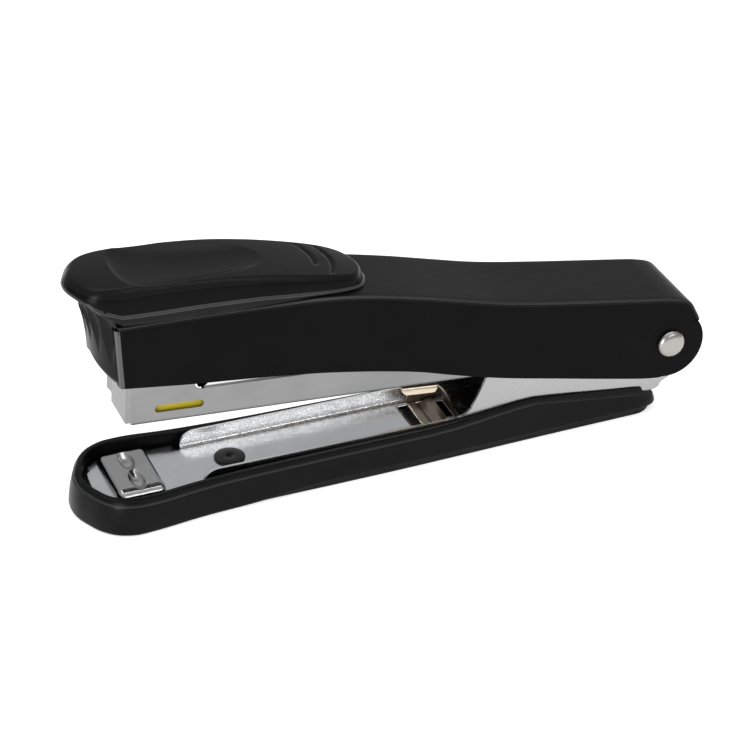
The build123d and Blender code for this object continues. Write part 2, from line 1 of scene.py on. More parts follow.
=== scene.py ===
"""Looks for the half-strip desk stapler: materials, detailed pieces, light and camera.

Lengths in the helpers are in millimetres, in the frame of the CAD model: +X runs
from the nose to the pivot, +Z is up, and the origin is on the resting surface.
"""
import math

import bmesh
import bpy
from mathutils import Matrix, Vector


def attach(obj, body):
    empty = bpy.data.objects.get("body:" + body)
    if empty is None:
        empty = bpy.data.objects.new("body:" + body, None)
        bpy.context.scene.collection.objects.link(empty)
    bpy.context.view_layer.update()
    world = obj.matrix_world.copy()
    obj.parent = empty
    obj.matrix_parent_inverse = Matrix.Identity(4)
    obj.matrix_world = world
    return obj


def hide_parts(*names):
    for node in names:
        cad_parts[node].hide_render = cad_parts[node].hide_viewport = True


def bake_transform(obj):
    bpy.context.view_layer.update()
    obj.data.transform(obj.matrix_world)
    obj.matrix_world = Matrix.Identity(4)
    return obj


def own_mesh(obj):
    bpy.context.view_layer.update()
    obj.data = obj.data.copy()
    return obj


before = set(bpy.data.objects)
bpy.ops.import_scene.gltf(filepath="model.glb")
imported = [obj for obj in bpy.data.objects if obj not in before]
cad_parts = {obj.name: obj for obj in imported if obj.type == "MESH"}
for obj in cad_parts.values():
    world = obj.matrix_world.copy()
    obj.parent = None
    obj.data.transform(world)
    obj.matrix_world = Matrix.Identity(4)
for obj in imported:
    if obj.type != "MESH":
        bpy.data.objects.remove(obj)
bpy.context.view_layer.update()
MM = 0.001

PIVOT = (59.5, 0.0, 16.6)
TILT = math.radians(4.07)


# ---- materials ----------------------------------------------------------
def node(tree, kind, **values):
    """Add a node, and set its inputs by name and its attributes."""
    made = tree.nodes.new(kind)
    for key, value in values.items():
        if hasattr(made, key):
            setattr(made, key, value)
        else:
            made.inputs[key.replace("_", " ")].default_value = value
    return made


def start(name):
    """Return a new node material, its tree and its shader."""
    mat = bpy.data.materials.new(name)
    mat.use_nodes = True
    return mat, mat.node_tree, mat.node_tree.nodes["Principled BSDF"]


def coords(tree, scale=(1, 1, 1)):
    """Object coordinates, stretched by scale."""
    place = node(tree, "ShaderNodeTexCoord")
    mapping = node(tree, "ShaderNodeMapping")
    mapping.inputs["Scale"].default_value = scale
    tree.links.new(place.outputs["Object"], mapping.inputs["Vector"])
    return mapping.outputs["Vector"]


def grain(tree, vector, scale, detail=2.0, rough=0.5, distort=0.0):
    """A noise texture's factor."""
    made = node(tree, "ShaderNodeTexNoise", Scale=scale, Detail=detail, Roughness=rough, Distortion=distort)
    tree.links.new(vector, made.inputs["Vector"])
    return made.outputs["Fac"]


def ramp(tree, factor, low, high, place=(0.3, 0.7)):
    """Map a factor to a range between two numbers or two colours."""
    made = node(tree, "ShaderNodeValToRGB")
    tree.links.new(factor, made.inputs["Fac"])
    for element, at, value in zip(made.color_ramp.elements, place, (low, high)):
        element.position = at
        element.color = value if isinstance(value, tuple) else (value, value, value, 1)
    return made.outputs["Color"]


def bump(tree, shader, height, strength, distance, under=None):
    """Join a height to the shader's normal, on top of another bump."""
    made = node(tree, "ShaderNodeBump", Strength=strength, Distance=distance)
    tree.links.new(height, made.inputs["Height"])
    if under is not None:
        tree.links.new(under, made.inputs["Normal"])
    tree.links.new(made.outputs["Normal"], shader.inputs["Normal"])
    return made.outputs["Normal"]


def plastic(name, dark, light, rough, grain_scale, grain_depth, specular=0.35, coat=0.0):
    """Moulded or painted finish with a fine grain, cloudy colour and faint scuffs."""
    mat, tree, shader = start(name)
    vector = coords(tree)
    shader.inputs["Specular IOR Level"].default_value = specular
    shader.inputs["Coat Weight"].default_value = coat
    shader.inputs["Coat Roughness"].default_value = 0.12
    cloud = grain(tree, vector, 90, 3.0, 0.6)
    tree.links.new(ramp(tree, cloud, dark, light), shader.inputs["Base Color"])
    scuff = grain(tree, coords(tree, (1, 6, 6)), 260, 4.0, 0.7, 0.4)
    tree.links.new(ramp(tree, scuff, rough * 0.9, rough * 1.12, (0.35, 0.75)), shader.inputs["Roughness"])
    peel = bump(tree, shader, grain(tree, vector, 420, 2.0), 0.10, 0.0001)
    bump(tree, shader, grain(tree, vector, grain_scale, 2.0), grain_depth, 0.00005, peel)
    return mat


def metal(name, dark, light, rough_low, rough_high, stretch, scratch, mottle=0.0, mottle_scale=700.0):
    """Sheet metal with a drawn grain, fine scratches and, where it was formed, a mottled surface."""
    mat, tree, shader = start(name)
    shader.inputs["Metallic"].default_value = 1.0
    vector = coords(tree)
    cloud = grain(tree, vector, 60, 4.0, 0.65)
    tree.links.new(ramp(tree, cloud, dark, light), shader.inputs["Base Color"])
    brushed = grain(tree, coords(tree, stretch), 900, 3.0, 0.6)
    tree.links.new(ramp(tree, brushed, rough_low, rough_high, (0.3, 0.7)), shader.inputs["Roughness"])
    under = bump(tree, shader, brushed, scratch, 0.00004)
    if mottle:
        pits = grain(tree, vector, mottle_scale, 3.0, 0.55, 0.6)
        bump(tree, shader, ramp(tree, pits, 0.0, 1.0, (0.35, 0.62)), mottle, 0.0001, under)
    return mat


def grey(value, warm=0.0):
    """A near neutral colour."""
    return (value * (1 + warm), value, value * (1 - warm), 1)


# Several materials below are lit and shaded copies of one paint or plastic that split one part by how bright
# each stretch is meant to look: painted shade on the handle's sides and the cap's wall, painted highlights on
# the handle's front and top corners, the cap's shoulder step and the base's ledge; they are not different
# paints or plastics.
black_paint = plastic("black_paint", grey(0.0030), grey(0.0045), 0.36, 2600, 0.20, specular=0.13)
# Painted shade: a darker, duller copy of the black paint, for the handle's sides.
painted_shade_handle_sides = plastic("painted_shade_handle_sides", grey(0.0016), grey(0.0026), 0.36, 2600, 0.20, specular=0.055)
# Painted highlight: a lighter, glossier copy of the black paint, for the handle's front upright corners.
painted_highlight_handle_front = plastic("painted_highlight_handle_front", grey(0.030), grey(0.040), 0.26, 2600, 0.15, specular=0.75)
# Painted highlight: a lighter copy of the black paint, for the handle's rounded top corners.
painted_highlight_handle_corners = plastic("painted_highlight_handle_corners", grey(0.012), grey(0.017), 0.30, 2600, 0.15, specular=0.40)
cap_plastic = plastic("cap_plastic", grey(0.0028), grey(0.0042), 0.33, 3000, 0.22, specular=0.14)
# Painted shade: a darker, duller copy of the cap plastic, for the cap's wall above the shoulder step.
painted_shade_cap_rise = plastic("painted_shade_cap_rise", grey(0.0020), grey(0.0032), 0.33, 3000, 0.22, specular=0.075)
# Painted highlight: a lighter copy of the cap plastic, for the cap's shoulder step.
painted_highlight_cap_step = plastic("painted_highlight_cap_step", grey(0.018), grey(0.026), 0.30, 3000, 0.20, specular=0.45)
black_plastic = plastic("black_plastic", grey(0.0022), grey(0.0034), 0.33, 2800, 0.22, specular=0.105)
# Painted highlight: a lighter copy of the black plastic, for the base's side ledge.
painted_highlight_base_ledge = plastic("painted_highlight_base_ledge", grey(0.011, 0.04), grey(0.017, 0.04), 0.30, 2800, 0.20, specular=0.32)
sole_rubber = plastic("sole_rubber", grey(0.006), grey(0.010), 0.62, 1800, 0.45, specular=0.15)
yellow_plastic = plastic("yellow_plastic", (0.36, 0.285, 0.012, 1), (0.45, 0.36, 0.02, 1), 0.42, 2200, 0.25)
chrome_wall = metal(
    "chrome_wall", grey(0.90), grey(1.0), 0.16, 0.34, (1, 1, 1), 0.12, mottle=0.32, mottle_scale=2600
)
chrome_floor = metal(
    "chrome_floor", grey(0.58, -0.02), grey(0.66, -0.02), 0.16, 0.24, (1, 3, 1), 0.12,
    mottle=0.12, mottle_scale=500,
)
# Painted shade: a darker, smoother copy of the plate's chrome, for the ears and the spring frame, standing in
# for the dark reflection of the handle's inside.
painted_shade_chrome = metal("painted_shade_chrome", grey(0.36), grey(0.39), 0.26, 0.30, (1, 1, 1), 0.0)
chrome_smooth = metal("chrome_smooth", grey(0.70), grey(0.78), 0.14, 0.20, (0.1, 1, 1), 0.03)
chrome_speckle = metal(
    "chrome_speckle", grey(0.72), grey(0.95), 0.10, 0.30, (1, 1, 1), 0.30, mottle=0.75, mottle_scale=3200
)
chrome_anvil = metal("chrome_anvil", grey(0.36), grey(0.44), 0.07, 0.13, (1, 1, 1), 0.08, mottle=0.10)
chrome_bright = metal("chrome_bright", grey(0.76), grey(0.86), 0.06, 0.13, (1, 1, 1), 0.10, mottle=0.25)
steel_satin = metal("steel_satin", grey(0.235), grey(0.275), 0.30, 0.42, (0.06, 1, 1), 0.35)
steel_inner = metal("steel_inner", grey(0.62), grey(0.72), 0.12, 0.24, (0.06, 1, 1), 0.25)
spring_steel = metal("spring_steel", grey(0.34, 0.03), grey(0.46, 0.03), 0.20, 0.32, (0.2, 1, 1), 0.25)
bronze_leaf = metal(
    "bronze_leaf", (0.58, 0.49, 0.38, 1), (0.70, 0.61, 0.49, 1), 0.20, 0.34, (0.1, 1, 1), 0.3, mottle=0.15
)
nickel_rivet = metal(
    "nickel_rivet", grey(0.33, 0.05), grey(0.40, 0.05), 0.24, 0.34, (1, 1, 1), 0.15, mottle=0.03
)
# Painted shade: a darker copy of the spring bronze, for the spring's shadowed cup, foot, cheeks and upright
# leaf.
painted_shade_bronze = metal("painted_shade_bronze", (0.20, 0.17, 0.14, 1), (0.30, 0.26, 0.21, 1), 0.26, 0.38, (0.1, 1, 1), 0.3)
black_disc = plastic("black_disc", grey(0.005), grey(0.010), 0.30, 1500, 0.5, specular=0.28)

for name, mat in (
    ("base_sole", sole_rubber),
    ("guide_rod", spring_steel),
    ("rod_bracket", steel_inner),
    ("rail_rivets", spring_steel),
    ("rear_cover", steel_satin),
    ("pivot_sleeve", spring_steel),
    ("cap_screws", nickel_rivet),
    ("driver_blade", spring_steel),
    ("blade_rivets", nickel_rivet),
):
    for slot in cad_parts[name].material_slots:
        slot.material = mat


# ---- helpers for building pieces ----------------------------------------
def lerp(a, b, t):
    """Between two numbers."""
    return a + (b - a) * t


def smooth(t):
    """Ease from 0 to 1."""
    t = min(1.0, max(0.0, t))
    return t * t * (3 - 2 * t)


def table(x, pairs):
    """Straight-line value at x in a list of (x, value)."""
    if x <= pairs[0][0]:
        return pairs[0][1]
    for (x0, v0), (x1, v1) in zip(pairs, pairs[1:]):
        if x <= x1:
            return lerp(v0, v1, (x - x0) / (x1 - x0))
    return pairs[-1][1]


def curve(points, count):
    """Evenly spaced points along a smooth curve through the given ones."""
    pts = [Vector(p) for p in points]
    ends = [pts[0] * 2 - pts[1]] + pts + [pts[-1] * 2 - pts[-2]]
    dense = []
    for p0, p1, p2, p3 in zip(ends, ends[1:], ends[2:], ends[3:]):
        k0 = max(1e-6, (p1 - p0).length ** 0.5)
        k1 = max(1e-6, (p2 - p1).length ** 0.5)
        k2 = max(1e-6, (p3 - p2).length ** 0.5)
        m1 = ((p1 - p0) / k0 - (p2 - p0) / (k0 + k1) + (p2 - p1) / k1) * k1
        m2 = ((p2 - p1) / k1 - (p3 - p1) / (k1 + k2) + (p3 - p2) / k2) * k1
        for step in range(24):
            t = step / 24
            a = 2 * t**3 - 3 * t**2 + 1
            b = t**3 - 2 * t**2 + t
            dense.append(p1 * a + m1 * b + p2 * (1 - a) + m2 * (t**3 - t**2))
    dense.append(pts[-1])
    return spaced(dense, count)


def spaced(points, count):
    """Points at even distances along a run of straight pieces."""
    pts = [Vector(p) for p in points]
    run = [0.0]
    for a, b in zip(pts, pts[1:]):
        run.append(run[-1] + (b - a).length)
    made, at = [], 0
    for i in range(count):
        goal = run[-1] * i / (count - 1)
        while at < len(run) - 2 and run[at + 1] < goal:
            at += 1
        span = max(1e-9, run[at + 1] - run[at])
        made.append(pts[at].lerp(pts[at + 1], (goal - run[at]) / span))
    return made


def xz(points):
    """Pairs as points in the XZ plane."""
    return [(x, 0, z) for x, z in points]


def arc(cx, cz, r, first, last, count):
    """Points on an arc, angles in degrees from +X."""
    made = []
    for i in range(count):
        a = math.radians(lerp(first, last, i / (count - 1)))
        made.append((cx + r * math.cos(a), cz + r * math.sin(a)))
    return made


def magazine_point(p):
    """Place a point drawn level about the pivot, in the tilted magazine."""
    x, y, z = p
    return (
        PIVOT[0] + x * math.cos(TILT) + z * math.sin(TILT),
        y,
        PIVOT[2] - x * math.sin(TILT) + z * math.cos(TILT),
    )


def piece(
    name, verts, faces, mats, body, stands_for=(), place=None, face_mat=None, sharp=40.0, turn=False
):
    """Make a mesh object that rides on a body, from points in millimetres."""
    if place is not None:
        verts = [place(v) for v in verts]
    mesh = bpy.data.meshes.new(name)
    mesh.from_pydata([(v[0] * MM, v[1] * MM, v[2] * MM) for v in verts], [], faces)
    for mat in mats if isinstance(mats, (list, tuple)) else [mats]:
        mesh.materials.append(mat)
    if face_mat is not None:
        for polygon, index in zip(mesh.polygons, face_mat):
            polygon.material_index = index
    made = bpy.data.objects.new(name, mesh)
    bpy.context.scene.collection.objects.link(made)
    tidy(made, sharp, turn)
    if body is not None:
        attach(made, body)
    if stands_for:
        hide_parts(*stands_for)
    return made


def tidy(made, sharp, turn):
    """Merge doubled points, turn a closed shape's faces outward, and shade smooth below an angle."""
    work = bmesh.new()
    work.from_mesh(made.data)
    bmesh.ops.remove_doubles(work, verts=work.verts, dist=0.000004)
    if turn or all(len(edge.link_faces) == 2 for edge in work.edges):
        bmesh.ops.recalc_face_normals(work, faces=work.faces)
    for edge in work.edges:
        if len(edge.link_faces) == 2:
            edge.smooth = edge.calc_face_angle(0.0) < math.radians(sharp)
    for face in work.faces:
        face.smooth = True
    work.to_mesh(made.data)
    work.free()


def rounded(made, width, segments=2, angle=35.0):
    """Round the edges of a piece by width, in millimetres."""
    made.modifiers.new("round", "BEVEL")
    mod = made.modifiers["round"]
    mod.width = width * MM
    mod.segments = segments
    mod.limit_method = "ANGLE"
    mod.angle_limit = math.radians(angle)
    mod.harden_normals = True
    return made


def thick(made, sheet, offset=-1.0):
    """Give a surface the thickness of its sheet."""
    mod = made.modifiers.new("sheet", "SOLIDIFY")
    mod.thickness = sheet * MM
    mod.offset = offset
    return made


def grid(rows, closed_row=False, closed_all=False):
    """Points and quads of a grid of rows, joined round or end to end on request."""
    verts = [tuple(p) for row in rows for p in row]
    width, height = len(rows[0]), len(rows)
    faces = []
    for i in range(height if closed_all else height - 1):
        for j in range(width if closed_row else width - 1):
            a = i * width + j
            b = i * width + (j + 1) % width
            c = ((i + 1) % height) * width + (j + 1) % width
            d = ((i + 1) % height) * width + j
            faces.append((a, b, c, d))
    return verts, faces


def lathe(profile, centre, axis, turns=48):
    """Rows of a turned shape: profile is (radius, height) along the axis."""
    away = Vector(axis).normalized()
    side = away.orthogonal().normalized()
    across = away.cross(side)
    rows = []
    for r, h in profile:
        row = []
        for i in range(turns):
            a = 2 * math.pi * i / turns
            out = side * math.cos(a) + across * math.sin(a)
            row.append(Vector(centre) + away * h + out * max(r, 0.001))
        rows.append(row)
    return grid(rows, closed_row=True)


def join(*parts):
    """Join several (points, faces) into one."""
    verts, faces = [], []
    for more_verts, more_faces in parts:
        shift = len(verts)
        verts += more_verts
        faces += [tuple(i + shift for i in face) for face in more_faces]
    return verts, faces


def slab(outline, near, far):
    """A flat plate: an outline in X and Z, between two Y values."""
    count = len(outline)
    verts = [(x, near, z) for x, z in outline] + [(x, far, z) for x, z in outline]
    faces = [tuple(range(count)), tuple(reversed(range(count, 2 * count)))]
    faces += [(i, i + count, (i + 1) % count + count, (i + 1) % count) for i in range(count)]
    return verts, faces


def box_mesh(low, high):
    """A block between two corners, as points and faces for a piece that is then rounded."""
    outline = [(low[0], low[2]), (high[0], low[2]), (high[0], high[2]), (low[0], high[2])]
    return slab(outline, low[1], high[1])


# ---- base ---------------------------------------------------------------
FLANK = [
    (-65.45, 6.0), (-63.6, 9.4), (-61.0, 11.9), (-57.5, 13.2), (-54.0, 13.15), (-50.0, 12.7),
    (-43.0, 11.8), (-30.0, 11.0), (-10.0, 10.5), (10.0, 10.1), (26.0, 9.5), (36.0, 9.2), (47.0, 8.9),
    (54.5, 8.6),
]
CREST = [
    (-70, 7.4), (6, 7.45), (12, 7.7), (17, 8.15), (22, 8.75), (26, 9.15), (29.5, 9.3), (33, 8.95),
    (44, 7.6), (54.5, 6.4), (58, 5.9),
]
BASE_REAR = 58.6
# How far the side ledge lies below the crest, along X.
LEDGE_DROP = [(-50, 1.0), (-40, 0.85), (18, 0.9), (30, 1.0), (45, 1.5), (56, 1.7)]
# Behind this X the rim is no wider than the room between the outline and the tray.
NARROW_FROM = -26
TRAY_EDGE = 7.97


def base_outline():
    """The base seen from above, anticlockwise from the nose's middle round the near side."""
    near = [(x, -y, 0) for x, y in FLANK]
    nose = [(-66.95, 0, 0), (-66.6, -3.0, 0)]
    rear = [(57.6, -7.4, 0), (58.45, -5.2, 0), (BASE_REAR, -2.4, 0), (BASE_REAR, 0, 0)]
    half = curve([(-66.6, 3.0, 0)] + nose + near + rear + [(BASE_REAR, 2.4, 0)], 700)
    half = [p for p in half if p.y <= 0.0]
    half = spaced([Vector((half[0].x, 0, 0))] + half[1:-1] + [Vector((BASE_REAR, 0, 0))], 200)
    other = [Vector((p.x, -p.y, 0)) for p in reversed(half[1:-1])]
    return half + other


def inward(ring):
    """Unit normals of a closed ring in the XY plane, pointing in."""
    made = []
    for i in range(len(ring)):
        along = ring[(i + 1) % len(ring)] - ring[i - 1]
        made.append(Vector((-along.y, along.x, 0)).normalized())
    return made


def crest_height(p):
    """Height of the rim's crest at a place on the outline."""
    high = table(p.x, CREST)
    behind = smooth((p.x - 57.6) / 0.5) * smooth((7.4 - abs(p.y)) / 0.8)
    return lerp(high, 4.2, behind)


ring = base_outline()
normals = inward(ring)
rows = []
for p, n in zip(ring, normals):
    top = crest_height(p)
    nose = smooth((-50.0 - p.x) / 12.0)
    # Towards the nose the wall reaches lower, over the edge of the sole.
    skirt = smooth((-14.0 - p.x) / 22.0)
    bulge = lerp(0.9, 1.9, nose)
    band = lerp(2.35, 2.7, nose)
    if p.x > NARROW_FROM:
        band = max(0.75, min(band, abs(p.y) - TRAY_EDGE - 0.08))
    ledge = top - table(p.x, LEDGE_DROP)
    draft = lerp(0.35, 0.95, nose)
    shape = [
        (0.5, lerp(1.32, 0.24, skirt)),
        (0.16, lerp(1.34, 0.26, skirt)),
        (0.06, lerp(1.5, 0.45, skirt)),
        (0.0, lerp(1.8, 0.8, skirt)),
        (draft * 0.4, lerp(1.8, ledge, 0.45)),
        (draft * 0.9, ledge - 0.55),
        (draft, ledge - 0.25),
        (draft + 0.08, ledge - 0.10),
        (draft + 0.22, ledge - 0.02),
        (draft + 0.32, ledge),
        (draft + 0.36, ledge + 0.08),
        (draft + 0.34, ledge + 0.2),
    ]
    reach = max(0.15, min(bulge * 0.6, band - draft - 0.6))
    for i in range(9):
        a = math.radians(90 * i / 8)
        shape.append((draft + 0.34 + reach * (1 - math.cos(a)), lerp(ledge + 0.2, top, math.sin(a))))
    inner = max(band + 0.15, draft + reach + 0.75)
    if p.x > NARROW_FROM:
        inner = min(inner, max(draft + reach + 0.5, abs(p.y) - TRAY_EDGE))
    shape += [
        (inner - 0.22, top - 0.03), (inner - 0.1, top - 0.1), (inner - 0.02, top - 0.3), (inner, top - 0.8)
    ]
    shape += [(inner + 0.08, 4.30), (inner + 0.5, 4.25)]
    rows.append([p + n * d + Vector((0, 0, min(z, max(top, 1.4)))) for d, z in shape])
verts, faces = grid(rows, closed_all=True)
width = len(rows[0])
# The ledge takes a painted highlight, a lighter copy of the black plastic; the last two faces close the
# underside and the area inside the rim.
painted_light_split = [1 if 6 <= i % (width - 1) <= 9 else 0 for i in range(len(faces))] + [0, 0]
faces.append(tuple(i * width for i in range(len(rows))))
faces.append(tuple(i * width + width - 1 for i in range(len(rows))))
piece(
    "base_moulding", verts, faces, [black_plastic, painted_highlight_base_ledge], "base", ["base_shell"],
    face_mat=painted_light_split, sharp=50,
)

# ---- chrome base plate --------------------------------------------------
FLOOR = 4.93
WALL = 8.1
SHEET = 0.6
BEND = 0.6
WALL_Y = 7.3
FLOOR_EDGE = WALL_Y - BEND
NOSE_HALF = 8.8
NOSE_ARC_X = -58.6
NOSE_REAR_X = -42.95
WINDOW = (5.0, 14.6, 5.5)
WALL_FRONT_X = -38.4
EAR_X = 13.5


def plate_floor():
    """The tray's flat floor, with its window, as a grid that skips the window."""
    edges_x = spaced([(-62.9, 0, 0), (-43.0, 0, 0)], 24) + spaced([(-42.6, 0, 0), (57.0, 0, 0)], 120)
    xs = sorted({round(p.x, 3) for p in edges_x} | {WINDOW[0], WINDOW[1]})
    cuts = [-8.8, -8.2, -7.3, -6.9, -6.2, -5.5, -4.5, -3.4, -2.2, -1.1, 0.0]
    cuts = cuts + [-c for c in reversed(cuts[:-1])]
    points, quads, index = [], [], {}
    for i, x in enumerate(xs):
        half = NOSE_HALF
        if x < NOSE_ARC_X:
            half *= math.sqrt(max(0.0, 1 - ((NOSE_ARC_X - x) / 4.3) ** 2))
        limit = half if x <= NOSE_REAR_X else FLOOR_EDGE
        for j, y in enumerate(cuts):
            index[i, j] = len(points)
            points.append((x, math.copysign(min(abs(y), limit), y), FLOOR))
    for i in range(len(xs) - 1):
        for j in range(len(cuts) - 1):
            mid_x, mid_y = (xs[i] + xs[i + 1]) / 2, (cuts[j] + cuts[j + 1]) / 2
            if mid_x > NOSE_REAR_X and abs(mid_y) > FLOOR_EDGE + 0.1:
                continue
            if WINDOW[0] < mid_x < WINDOW[1] and abs(mid_y) < WINDOW[2]:
                continue
            quads.append((index[i, j], index[i + 1, j], index[i + 1, j + 1], index[i, j + 1]))
    return points, quads


def wall_top(x):
    """Height of the tray's wall and ear along X."""
    if x < WALL_FRONT_X:
        return lerp(FLOOR + 0.3, WALL, math.sqrt(max(0.0, 1 - ((WALL_FRONT_X - x) / 3.4) ** 2)))
    if x < 12.6:
        return WALL
    if x < 15.6:
        return WALL + 1.5 * ((x - 12.6) / 3.0) ** 2
    if x < 20.6:
        return lerp(9.5, 19.4, (x - 15.6) / 5.0)
    return lerp(19.4, 21.7, (x - 20.6) / 35)


def plate_wall(side):
    """One side wall with its bend and its ear, as rows from the floor up."""
    xs = [p.x for p in spaced([(-41.8, 0, 0), (-38.0, 0, 0)], 14)]
    xs += [p.x for p in spaced([(-37.4, 0, 0), (12.4, 0, 0)], 60)]
    xs += [p.x for p in spaced([(12.7, 0, 0), (21.2, 0, 0)], 30)]
    xs += [p.x for p in spaced([(22.0, 0, 0), (55.6, 0, 0)], 40)]
    columns = []
    for x in xs:
        high = wall_top(x)
        column = []
        for step in range(7):
            a = math.radians(90 * step / 6)
            column.append((x, side * (FLOOR_EDGE + BEND * math.sin(a)), FLOOR + BEND * (1 - math.cos(a))))
        base_z = FLOOR + BEND
        high = max(high, base_z + 0.05)
        for step in range(1, 9):
            column.append((x, side * WALL_Y, lerp(base_z, high, step / 8)))
        columns.append(column)
    # The ear's rounded rear, drawn as more columns that close on the rear edge.
    rear = arc(57.2, 14.0, 7.9, 88, -8, 16)
    for i, (x, z) in enumerate(rear):
        low = lerp(FLOOR + BEND, 10.0, (i / 15) ** 1.5)
        low_x = lerp(56.4, 62.6, i / 15)
        column = []
        for step in range(7):
            a = math.radians(90 * step / 6)
            shift = BEND * (1 - math.cos(a))
            flat = lerp(FLOOR_EDGE + BEND * math.sin(a), WALL_Y, smooth(i / 4))
            foot_x = lerp(56.0, low_x, min(1, i / 3 + step / 12))
            column.append((foot_x, side * flat, lerp(FLOOR + shift, low, min(1, i / 6))))
        for step in range(1, 9):
            column.append((lerp(low_x, x, step / 8), side * WALL_Y, lerp(low, z, step / 8)))
        columns.append(column)
    return grid(columns)


floor_points, floor_quads = plate_floor()
# The floor is mottled beside the far wall.
band = []
for quad in floor_quads:
    mid_x = sum(floor_points[i][0] for i in quad) / 4
    mid_y = sum(floor_points[i][1] for i in quad) / 4
    band.append(1 if mid_y > 5.0 and -41.5 < mid_x < WINDOW[0] else 0)
tray_floor = piece(
    "tray_floor", floor_points, floor_quads, [chrome_floor, chrome_speckle], "base",
    ["base_plate"], face_mat=band,
)
thick(tray_floor, SHEET)
for side, label in ((-1, "near"), (1, "far")):
    verts, faces = plate_wall(side)
    # From the ear's start rearward the wall takes painted shade, a darker copy of the chrome.
    where = [0 if sum(verts[i][0] for i in face) / len(face) < EAR_X else 1 for face in faces]
    painted_light_split = [chrome_wall if side > 0 else chrome_smooth, painted_shade_chrome]
    wall = piece("tray_wall_" + label, verts, faces, painted_light_split, "base", face_mat=where)
    thick(wall, SHEET, side)
    rounded(wall, 0.12)
tail = [(56.8, 4.3), (58.7, 4.45), (60.7, 5.7), (61.3, 6.95), (60.9, 7.6), (56.8, 5.1)]
verts, faces = slab(tail, -7.6, 7.6)
rounded(piece("tray_tail", verts, faces, chrome_wall, "base"), 0.15)

# ---- anvil --------------------------------------------------------------
ANVIL_X, ANVIL_TOP = -54.2, 6.95
ANVIL_HALF_Y = 8.25
ANVIL_ROLL_X, ANVIL_ROLL_Y = 1.4, 2.35
POCKET_Y, POCKET_HALF_X, POCKET_HALF_Y, POCKET_DEPTH = 3.6, 1.55, 3.55, 1.15
rows = []
xs = spaced([(-59.3, 0, 0), (-49.1, 0, 0)], 70)
ys = spaced([(-ANVIL_HALF_Y, 0, 0), (ANVIL_HALF_Y, 0, 0)], 110)
for px in xs:
    row = []
    for py in ys:
        x, y = px.x, py.x
        corner_x = max(0.0, abs(x - ANVIL_X) - 3.7) / ANVIL_ROLL_X
        corner_y = max(0.0, abs(y) - 5.9) / ANVIL_ROLL_Y
        edge = min(1.0, math.hypot(corner_x, corner_y))
        z = FLOOR + 0.02 + (ANVIL_TOP - FLOOR) * math.sqrt(max(0.0, 1 - edge**2.1))
        pit = 0.0
        for middle in (-POCKET_Y, POCKET_Y):
            rho = math.hypot((x - ANVIL_X) / POCKET_HALF_X, (y - middle) / POCKET_HALF_Y)
            pit = max(pit, POCKET_DEPTH * max(0.0, 1 - rho**2.4))
            pit -= 0.42 * math.exp(-(math.hypot((x - ANVIL_X) / 0.9, (y - middle) / 1.1) ** 2)) * 0.8
        row.append((x, y, z - pit))
    rows.append(row)
verts, faces = grid(rows)
piece("anvil_block", verts, faces, chrome_anvil, "base", ["anvil"], sharp=70)

# ---- disc rivets --------------------------------------------------------
disc_parts = []
for x, lift in ((-33.7, 0.0), (19.5, 0.5)):
    profile = [
        (3.2, 0.0), (3.2, 0.22), (3.12, 0.36), (2.9, 0.45), (1.6, 0.52), (0.95, 0.50), (0.7, 0.32),
        (0.5, 0.08), (0.0, 0.0),
    ]
    disc_parts.append(lathe(profile, (x, 0, FLOOR + lift), (0, 0, 1)))
verts, faces = join(*disc_parts)
piece("disc_heads", verts, faces, black_disc, "base", ["plate_rivets"], sharp=60)

# ---- pivot rivet --------------------------------------------------------
profile = [
    (1.55, 0.0), (1.6, 9.45), (2.9, 9.46), (3.02, 9.6), (3.0, 9.85), (2.8, 10.25), (2.35, 10.6),
    (1.6, 10.8), (0.7, 10.88), (0.0, 10.9),
]
HEAD_OUT = 0.2
parts = [lathe(profile, (PIVOT[0], side * HEAD_OUT, PIVOT[2]), (0, side, 0), 64) for side in (-1, 1)]
verts, faces = join(*parts)
piece("pivot_heads", verts, faces, nickel_rivet, "base", ["pivot_rivet"], sharp=60)

# ---- magazine -----------------------------------------------------------
LOW = -3.54
OUT = 7.0
FRONT = -116.3
NOSE_REAR = -102.6
FOLD = LOW + 6.5
REAR = 4.0


def wall_rows(side):
    """Section of the channel from the middle of its floor up one side, as (y, z)."""
    r = 0.9
    section = [(0.0, LOW), (side * 2.5, LOW), (side * 5.0, LOW)]
    for step in range(7):
        a = math.radians(90 * step / 6)
        section.append((side * (OUT - r + r * math.sin(a)), LOW + r - r * math.cos(a)))
    return section


SLOT = (-105.6, LOW + 3.25, 10.0, 1.6)


def slot_window():
    """The rounded outline of the pusher's window, as pairs."""
    cx, cz, length, height = SLOT
    r = height / 2
    reach = length / 2 - r
    return arc(cx + reach, cz, r, -90, 90, 16) + arc(cx - reach, cz, r, 90, 270, 16)


def add_polygon_plate(outline, hole, y):
    """A flat face with one hole, filled by bridging, as points and faces."""
    work = bmesh.new()
    loops = []
    for path in (outline, hole):
        made = [work.verts.new((x, y, z)) for x, z in path]
        for a, b in zip(made, made[1:] + made[:1]):
            work.edges.new((a, b))
        loops.append(made)
    bmesh.ops.triangle_fill(work, use_beauty=True, use_dissolve=False, edges=work.edges[:])
    work.verts.index_update()
    verts = [tuple(v.co) for v in work.verts]
    faces = [tuple(v.index for v in f.verts) for f in work.faces]
    work.free()
    return verts, faces


